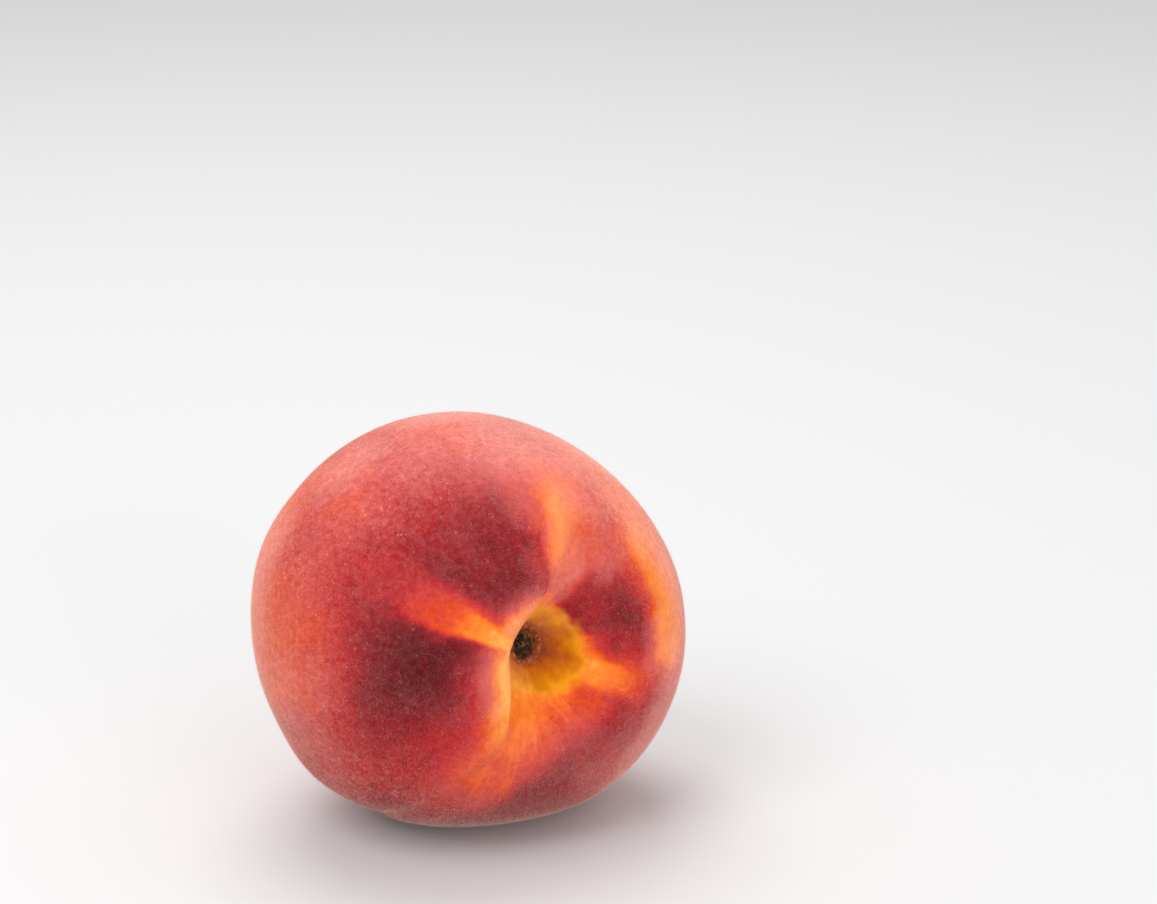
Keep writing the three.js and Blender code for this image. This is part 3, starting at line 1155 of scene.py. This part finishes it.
@dataclass
class StalkScar:
    """The corky plate and torn fibres left in the cavity's floor by the stalk, in millimetres."""

    form: FruitForm
    resting: Resting
    radius: float = 3.5
    rings: int = 44
    spokes: int = 112
    under_rings: tuple[float, ...] = (0.9, 0.7, 0.45, 0.2)  # beside the radius
    edge: float = 0.93  # beside the radius
    edge_drop: float = 0.12
    lift: float = 0.10
    root: float = 0.5
    rim: Ridge = Ridge(0.16, at=2.7, spread=0.5)
    rim_knobs: Ridge = Ridge(0.30, at=2.7, spread=0.5)
    groove: Ridge = Ridge(-0.55, at=1.6, spread=0.7)
    core: Ridge = Ridge(0.22, at=0.0, spread=0.8)
    grit: Ripple = Ripple(1.3, seed=41, height=0.12)
    fine_grit: Ripple = Ripple(0.6, seed=42, height=0.05)
    grit_edge: float = 2.6
    hollow_aside: Pair = (0.45, 350.0)  # how far the dark middle lies aside, and which way
    hollow_edge: Pair = (1.5, 2.4)
    rim_tone: float = 0.62
    knob_tone: Ridge = Ridge(0.32, at=2.8, spread=0.5)
    tone_ripple: Ripple = Ripple(1.3, seed=43, height=0.16)
    crack_tone: Ridge = Ridge(-0.5, at=2.4, spread=0.6)
    cracks: Ripple = Ripple(1.0, seed=47)
    crack_edge: Pair = (0.4, 0.8)
    fringe: Pair = (2.85, 3.35)
    fringe_tone: float = 0.84
    torn: Ripple = Ripple(1.1, seed=44)
    torn_edge: Pair = (0.45, 0.95)
    torn_reach: Pair = (2.6, 1.8)
    torn_share: float = 0.55
    knob_count: float = 11.0
    knob_sway: float = 2.0
    knob_start: float = 0.8
    seed: int = 45
    strands: int = 14
    strand_stray: float = 0.35  # of the way to the next one
    strand_aside: float = 0.5
    strand_rings: int = 9
    strand_sides: int = 7
    strand_start: Pair = (0.5, 2.4)
    strand_length: Pair = (0.45, 1.1)
    strand_radius: Pair = (0.06, 0.13)
    strand_taper: float = 0.75
    strand_bend: float = 0.7
    strand_droop: float = 0.25
    strand_sunk: float = 0.15
    strand_tone: float = 0.6
    strand_ripple: Ripple = Ripple(1.0, seed=46, height=0.4)

    def floor(self, distance: Array, turn: Array) -> Array:
        """Points of the cavity's floor at a distance and turn from its middle."""
        return self.form.skin(*self.form.to_axis(distance, turn))

    def knobs(self, turn: Array) -> Array:
        """The knobs of the raised ring: 1 on a knob, 0 between two, unevenly spaced."""
        sway = self.knob_sway * np.sin(2.0 * turn)
        return 0.5 + 0.5 * np.cos(self.knob_count * turn + sway + self.knob_start)

    def relief(self, distance: Array, turn: Array, points: Array) -> Array:
        """Height of the plate over the floor, in millimetres.

        Args:
            distance: distances from the cavity's middle.
            turn: turns about it.
            points: the floor's points.

        Returns:
            A raised, knobbly ring, a groove inside it, a torn core and coarse grit.
        """
        ring = self.rim.rise(distance) + self.rim_knobs.rise(distance) * self.knobs(turn)
        grit = self.grit.at(points) + self.fine_grit.at(points)
        grit = grit * smooth_step(self.radius, self.grit_edge, distance)
        return self.lift + ring + self.groove.rise(distance) + self.core.rise(distance) + grit

    def tones(self, distance: Array, turn: Array, points: Array) -> dict[str, Array]:
        """What the plate's finish reads.

        Args:
            distance: distances from the cavity's middle.
            turn: turns about it.
            points: the plate's points.

        Returns:
            The rim, from 0, the dark hollow, over the brown, cracked ring to the fringe where
            skin begins, and the share of torn fibre.
        """
        aside, way = self.hollow_aside
        hollow = distance - aside * np.cos(turn - math.radians(way))
        rim = self.rim_tone * smooth_step(*self.hollow_edge, hollow)
        rim = rim + self.knob_tone.rise(distance) * self.knobs(turn) + self.tone_ripple.at(points)
        cracks = smooth_step(*self.crack_edge, self.cracks.at(points))
        rim = rim + cracks * self.crack_tone.rise(distance)
        fringe = smooth_step(*self.fringe, distance)
        rim = rim * (1.0 - fringe) + self.fringe_tone * fringe
        torn = smooth_step(*self.torn_edge, self.torn.at(points)) * smooth_step(*self.torn_reach, distance)
        return {"rim": np.clip(rim, 0.0, 1.0), "fibre": self.torn_share * torn}

    def make_plate(self) -> Piece:
        """Builds the plate, closed below where it is rooted in the flesh.

        Returns:
            The piece: rings out over its top to the edge, and back in under it.
        """
        top = self.radius * np.arange(1, self.rings + 1) / self.rings
        circles = np.concatenate([top, self.radius * np.array(self.under_rings)])
        distance = np.concatenate([[0.0], np.repeat(circles, self.spokes), [0.0]])
        around = TURN * np.arange(self.spokes) / self.spokes
        turn = np.concatenate([[0.0], np.tile(around, len(circles)), [0.0]])
        points = self.floor(distance, turn)
        upper = np.arange(len(distance)) <= self.rings * self.spokes
        edge = smooth_step(self.radius, self.edge * self.radius, distance)
        height = self.relief(distance, turn, points) * edge - self.edge_drop * (1.0 - edge)
        points[:, 2] += np.where(upper, height, -self.root)
        faces = closed_rings(len(circles), self.spokes)
        tones = self.tones(distance, turn, points)
        plate = add_piece("stalk_scar", self.resting.place(points), faces, ScarFinish().material(), tones)
        return plate

    def make_strands(self) -> Piece:
        """Builds the torn fibres, which stand around the plate and bend inwards.

        Returns:
            The piece: tapered tubes along curved paths, each from its tip down to its foot.
        """
        rng = np.random.default_rng(self.seed)
        count, stray = self.strands, self.strand_stray
        turn = TURN * (np.arange(count) + rng.uniform(-stray, stray, count)) / count
        foot = self.floor(rng.uniform(*self.strand_start, count), turn)
        upwards = np.array([0.0, 0.0, 1.0])
        inwards = np.stack([-np.cos(turn), -np.sin(turn), np.zeros_like(turn)], axis=-1)
        aside = rng.normal(size=(count, 3)) * self.strand_aside * (1.0 - upwards)
        length = rng.uniform(*self.strand_length, (count, 1, 1))
        step = np.linspace(1.0, 0.0, self.strand_rings)[None, :, None]
        bend = (inwards + aside)[:, None, :] * step**2 * self.strand_bend
        rise = upwards * (step - self.strand_droop * step**2)
        path = foot[:, None, :] - self.strand_sunk * upwards + length * (bend + rise)
        around = TURN * np.arange(self.strand_sides) / self.strand_sides
        circle = np.stack([np.cos(around), np.sin(around), np.zeros_like(around)], axis=-1)
        radius = rng.uniform(*self.strand_radius, (count, 1, 1, 1))
        thick = radius * (1.0 - self.strand_taper * step[..., None])
        tube = (path[:, :, None, :] + thick * circle).reshape(count, -1, 3)
        points = np.concatenate([path[:, :1], tube, path[:, -1:]], axis=1)
        first = points.shape[1] * np.arange(count)[:, None, None]
        faces = (first + closed_rings(self.strand_rings, self.strand_sides)).reshape(-1, 3)
        points = points.reshape(-1, 3)
        fibre = np.clip(self.strand_tone + self.strand_ripple.at(points), 0.0, 1.0)
        tones = {"rim": np.full(len(points), self.strand_tone), "fibre": fibre}
        placed = self.resting.place(points)
        strands = add_piece("scar_fibres", placed, faces, ScarFinish().material(), tones)
        return strands


@dataclass
class Fuzz:
    """Short fine hairs all over the skin, each a closed three-sided spike, in millimetres."""

    form: FruitForm
    resting: Resting
    seed: int = 100
    coats: int = 4
    hairs: int = 46000
    shortest: float = 0.14
    longest: float = 0.42
    thickness: float = 0.019
    sunk: float = 0.05
    lean: float = 0.4
    least_lean: float = 0.2  # beside the lean
    span: Pair = (0.0004, 0.9999)  # of the way down the axis that hairs cover
    bald: Pair = (6.5, 11.0)  # from the cavity's middle, where hairs thin out
    lip: Pair = (-3.2, 0.8)  # over the crease's line, where hairs are left out
    lip_reach: Pair = (12.0, 24.0)  # along it, where they begin again
    lowest_root: float = 0.3
    lowest_point: float = 0.02
    probe: float = 0.002  # radians, to find the way that the skin faces
    nudge: float = 0.01  # keeps the spikes' sides from vanishing

    def roots(self, rng: np.random.Generator) -> tuple[Array, Array]:
        """Places on the skin and the directions in which it faces there.

        Args:
            rng: the seeded draw.

        Returns:
            Points and outward unit vectors in the frame, in millimetres.
        """

        def skin(polar: Array, turn: Array) -> Array:
            """The skin's points in the frame, not pressed flat."""
            return self.resting.place(self.form.skin(polar, turn), flatten=False)

        polar = np.arccos(1.0 - 2.0 * rng.uniform(*self.span, self.hairs))
        turn = rng.uniform(0.0, TURN, self.hairs)
        here = skin(polar, turn)
        down, aside = skin(polar + self.probe, turn) - here, skin(polar, turn + self.probe) - here
        facing = unit(np.cross(down, aside))
        distance, _ = self.form.from_cavity(polar, turn)
        bare = distance < rng.uniform(*self.bald, self.hairs)
        along, across = self.form.from_axis(polar, turn)
        lip = (across > self.lip[0]) & (across < self.lip[1])
        lip = lip & (np.abs(along) < rng.uniform(*self.lip_reach, self.hairs))
        keep = ~((np.cos(polar) > 0) & (bare | lip)) & (here[:, 2] > self.lowest_root)
        return here[keep], facing[keep]

    def make(self, number: int) -> Piece:
        """Builds one coat of hairs.

        Args:
            number: which coat, which also seeds its draw.

        Returns:
            The piece: spikes that lean each its own way, on triangular feet.
        """
        rng = np.random.default_rng(self.seed + number)
        roots, facing = self.roots(rng)
        count = len(roots)
        ruffle = rng.normal(size=(count, 3))
        aside = unit(ruffle - (ruffle * facing).sum(-1, keepdims=True) * facing)
        direction = unit(facing + self.lean * aside * rng.uniform(self.least_lean, 1.0, (count, 1)))
        side = unit(np.cross(direction, unit(ruffle) + self.nudge))
        other = np.cross(direction, side)
        length = rng.uniform(self.shortest, self.longest, (count, 1))
        spread = (TURN / 3.0 * np.arange(3))[None, :, None]
        corner = np.cos(spread) * side[:, None, :] + np.sin(spread) * other[:, None, :]
        base = (roots - self.sunk * facing)[:, None, :] + self.thickness / 2.0 * corner
        points = np.concatenate([base, (roots + length * direction)[:, None, :]], axis=1)
        points[..., 2] = np.maximum(points[..., 2], self.lowest_point)
        spike = np.array([[0, 2, 1], [0, 1, 3], [1, 2, 3], [2, 0, 3]])
        faces = (4 * np.arange(count)[:, None, None] + spike).reshape(-1, 3)
        piece = add_piece(f"fuzz_{number}", points.reshape(-1, 3), faces, FuzzFinish().material(), {})
        return piece


@dataclass(frozen=True)
class Softbox:
    """A square soft light: where it hangs from the fruit's middle, its side and its watts."""

    name: str
    place: tuple[float, float, float]
    size: float
    power: float

    def hang(self, middle: Vector) -> None:
        """Hangs the light, facing the fruit.

        Args:
            middle: the fruit's middle in the frame.
        """
        data = bpy.data.lights.new(self.name, "AREA")
        data.size = self.size
        data.energy = self.power
        light = bpy.data.objects.new(self.name, data)
        light.location = middle + Vector(self.place)
        light.rotation_euler = (-Vector(self.place)).to_track_quat("-Z", "Y").to_euler()
        bpy.context.scene.collection.objects.link(light)


@dataclass(frozen=True)
class Studio:
    """The pale floor, the soft lights and the camera, in metres."""

    floor_size: float = 6.0
    lens: float = 100.0  # millimetres, as the sensor
    sensor: float = 36.0
    nearest: float = 0.01
    elevation: float = 17.0
    frame_width: float = 1157.0
    frame_height: float = 904.0
    fruit_pixel: Pair = (467.0, 622.0)  # the fruit's middle in the frame
    pixels_per_metre: float = 5750.0
    world_strength: float = 0.74
    softboxes: tuple[Softbox, ...] = (
        Softbox("key", (-0.35, -0.45, 0.65), size=0.5, power=2.6),
        Softbox("front", (0.45, -0.75, 0.12), size=0.5, power=3.6),
        Softbox("top", (-0.1, 0.35, 0.85), size=0.6, power=4.0),
    )

    def build_floor(self) -> None:
        """Lays the floor, a square at the height that the fruit rests on."""
        half = self.floor_size / 2.0
        corners = [(-half, -half, 0.0), (half, -half, 0.0), (half, half, 0.0), (-half, half, 0.0)]
        mesh = bpy.data.meshes.new("floor")
        mesh.from_pydata(corners, [], [(0, 1, 2, 3)])
        mesh.materials.append(FloorFinish().material())
        floor = bpy.data.objects.new("floor", mesh)
        bpy.context.scene.collection.objects.link(floor)

    def build_camera(self, middle: Vector) -> None:
        """Sets the camera so that the fruit's middle falls on its pixel.

        Args:
            middle: the fruit's middle in the frame.
        """
        focal = self.lens / self.sensor * self.frame_width
        away = focal / self.pixels_per_metre
        aside = (self.fruit_pixel[0] - self.frame_width / 2.0) / self.pixels_per_metre
        above = (self.frame_height / 2.0 - self.fruit_pixel[1]) / self.pixels_per_metre
        tilt = math.radians(self.elevation)
        right = Vector((1.0, 0.0, 0.0))
        up = Vector((0.0, math.sin(tilt), math.cos(tilt)))
        back = Vector((0.0, -math.cos(tilt), math.sin(tilt)))
        data = bpy.data.cameras.new("camera")
        data.lens = self.lens
        data.sensor_width = self.sensor
        data.clip_start = self.nearest
        camera = bpy.data.objects.new("camera", data)
        camera.location = middle - aside * right - above * up + away * back
        camera.rotation_euler = (math.pi / 2.0 - tilt, 0.0, 0.0)
        bpy.context.scene.collection.objects.link(camera)
        bpy.context.scene.camera = camera

    def build_lights(self, middle: Vector) -> None:
        """Fills the room with even light and hangs the soft boxes.

        Args:
            middle: the fruit's middle in the frame.
        """
        world = bpy.data.worlds.new("studio")
        world.use_nodes = True
        background = world.node_tree.nodes["Background"]
        background.inputs["Color"].default_value = (1.0, 1.0, 1.0, 1.0)
        background.inputs["Strength"].default_value = self.world_strength
        bpy.context.scene.world = world
        for softbox in self.softboxes:
            softbox.hang(middle)
        bpy.context.scene.view_settings.view_transform = "Standard"


def corners(bounds: tuple[Vector, Vector]) -> list[list[float]]:
    """The lowest and highest corner as plain lists of numbers."""
    return [[float(part) for part in corner] for corner in bounds]


def main() -> None:
    logging.basicConfig(level=logging.INFO, format="%(message)s")
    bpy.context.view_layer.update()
    form = FruitForm()
    resting = Resting(form)
    Skin(form, resting).make()
    scar = StalkScar(form, resting)
    scar.make_plate()
    scar.make_strands()
    fuzz = Fuzz(form, resting)
    for number in range(1, fuzz.coats + 1):
        fuzz.make(number)
    middle = Vector(resting.place(np.zeros(3)) * MM)
    studio = Studio()
    studio.build_floor()
    studio.build_camera(middle)
    studio.build_lights(middle)


if __name__ == "__main__":
    main()
